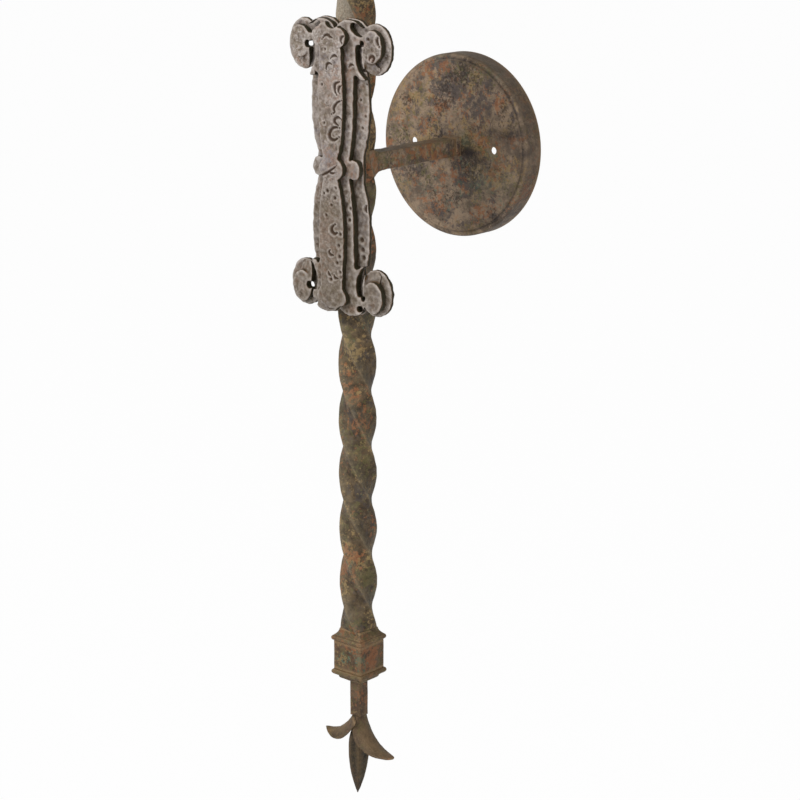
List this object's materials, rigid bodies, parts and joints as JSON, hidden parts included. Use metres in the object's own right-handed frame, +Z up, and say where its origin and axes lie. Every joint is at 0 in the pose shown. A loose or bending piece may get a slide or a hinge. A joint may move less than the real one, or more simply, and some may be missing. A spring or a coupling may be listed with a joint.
{
  "type": "torch wall sconce",
  "caption": "Forged iron torch wall sconce: round canopy, square arm, twisted bar with layered cartouche plates, three-pronged finial and candle lamp.",
  "frame": {"origin": "centre of the canopy's back rim, on the wall", "axes": "+X to the right along the wall, +Y into the wall, +Z up"},
  "size_m": [0.128, 0.1565, 0.7895],
  "materials": {
    "rust_iron": "mottled rust and grey patina",
    "plate_iron": "hammered plate with pale worn faces and dark crevices",
    "steel": "plated",
    "brass": "satin",
    "candle": "matt candle cover",
    "socket": "matt",
    "glass": "clear"
  },
  "bodies": {
    "root": {"canopy": "rust_iron", "ground_screw": "brass", "arm": "rust_iron", "arm_ferrule": "rust_iron", "arm_washer": "steel", "arm_nut": "steel", "twisted_bar": "rust_iron", "back_plate": "plate_iron", "scroll_plate": "plate_iron", "front_plate": "plate_iron", "plate_rivets": "plate_iron", "foot_collar_cove": "rust_iron", "foot_collar_block": "rust_iron", "foot_collar_bead": "rust_iron", "finial_stem": "rust_iron", "finial_spike": "rust_iron", "finial_leaf_left": "rust_iron", "finial_leaf_right": "rust_iron", "head_collar_bead": "rust_iron", "head_collar_block": "rust_iron", "head_collar_cap": "rust_iron", "torch_cup": "rust_iron", "lamp_pipe": "steel", "cup_nut": "brass", "candle_sleeve": "candle", "lamp_socket": "socket", "socket_contact": "brass"},
    "bulb": {"bulb_cap": "brass", "bulb_glass": "glass", "bulb_filament": "steel"}
  },
  "joints": [
    {"name": "bulb_turn", "type": "hinge", "parent": "root", "child": "bulb", "pos_m": [0, -0.1185, 0.2603], "axis": [0, 0, 1], "continuous": true}
  ]
}
